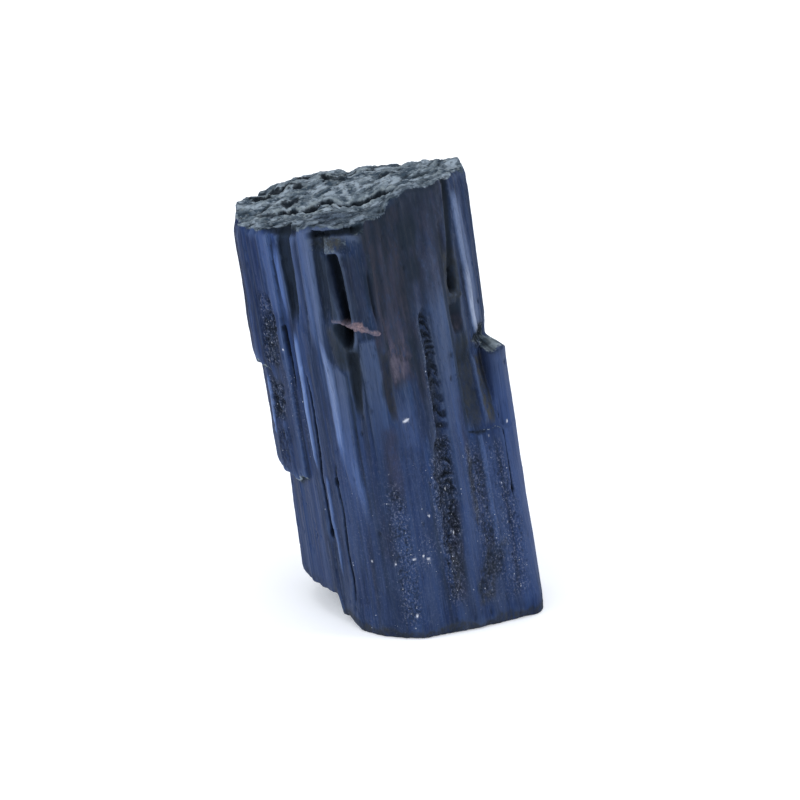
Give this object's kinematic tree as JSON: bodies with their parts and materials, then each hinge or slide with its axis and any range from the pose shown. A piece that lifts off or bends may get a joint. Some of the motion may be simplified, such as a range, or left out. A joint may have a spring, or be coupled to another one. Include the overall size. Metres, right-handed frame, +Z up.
{
  "type": "tourmaline crystal",
  "caption": "Black tourmaline (schorl) crystal: a striated prism with rounded-triangle section, broken at both ends, standing on its lower break with a slight lean.",
  "frame": {"origin": "centre of the footprint of the bounding box, on the surface the crystal stands on", "axes": "+Z up; the prism axis leans 8.2 degrees towards -X and 3.5 degrees towards -Y; -Y is the front, where two prism faces meet at the front edge"},
  "size_m": [0.0254, 0.0178, 0.0371],
  "materials": {
    "black_tourmaline": "striated glassy prism faces, matt granular breaks"
  },
  "bodies": {
    "root": {"tourmaline_crystal": "black_tourmaline"}
  },
  "joints": []
}
